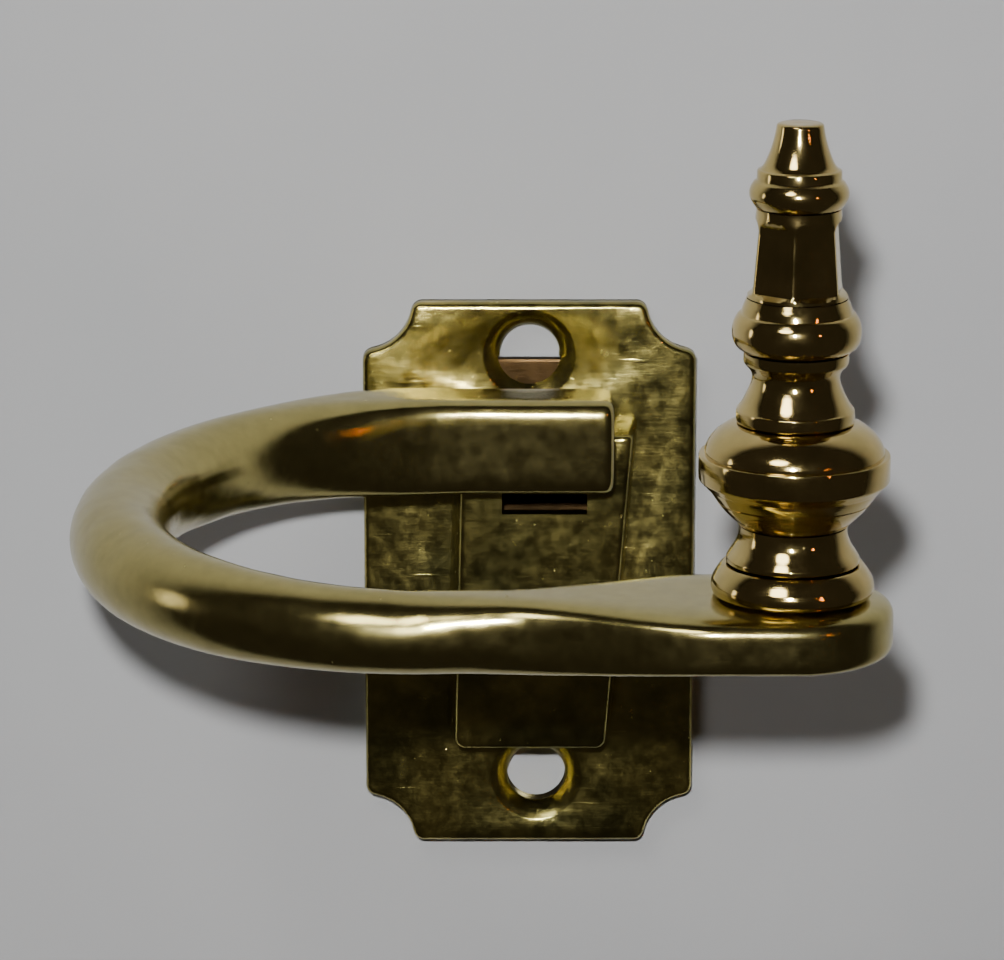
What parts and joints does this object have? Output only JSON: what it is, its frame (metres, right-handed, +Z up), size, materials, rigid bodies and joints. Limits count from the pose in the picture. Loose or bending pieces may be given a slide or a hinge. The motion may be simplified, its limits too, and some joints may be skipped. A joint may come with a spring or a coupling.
{
  "type": "sliding-arm wall hook",
  "caption": "Solid brass wall hook: a U-shaped arm slides in a tapered socket on a notched wall plate and ends in a round pad with a turned finial.",
  "frame": {"origin": "middle of the wall plate's back face", "axes": "+Z up along the wall, towards the finial's tip; +Y into the wall; the arm reaches out along -Y and the finial stands to +X"},
  "size_m": [0.0697, 0.0881, 0.0864],
  "materials": {
    "plate_brass": "satin",
    "arm_brass": "polished",
    "finial_brass": "polished",
    "rough_brass": "rough",
    "steel": "satin"
  },
  "bodies": {
    "wall_plate": {"back_plate": "plate_brass", "socket": "plate_brass"},
    "sliding_arm": {"arm": "arm_brass", "tongue": "rough_brass", "tongue_screw_left": "steel", "tongue_screw_right": "steel", "stud_washer": "steel", "stud_nut": "steel"},
    "finial": {"finial_foot": "finial_brass", "finial_neck": "finial_brass", "finial_bowl": "finial_brass", "finial_collar": "finial_brass", "finial_ring": "finial_brass", "finial_shaft": "finial_brass", "finial_cap": "finial_brass", "finial_stud": "steel"}
  },
  "joints": [
    {"name": "arm_slide", "type": "slide", "parent": "wall_plate", "child": "sliding_arm", "axis": [0, 0, 1], "range_m": [-0.0036, 0]},
    {"name": "finial_turn", "type": "hinge", "parent": "sliding_arm", "child": "finial", "pos_m": [0.02072, -0.0799, 0.0202], "axis": [0, 0, 1], "range_deg": [0, 360]}
  ]
}
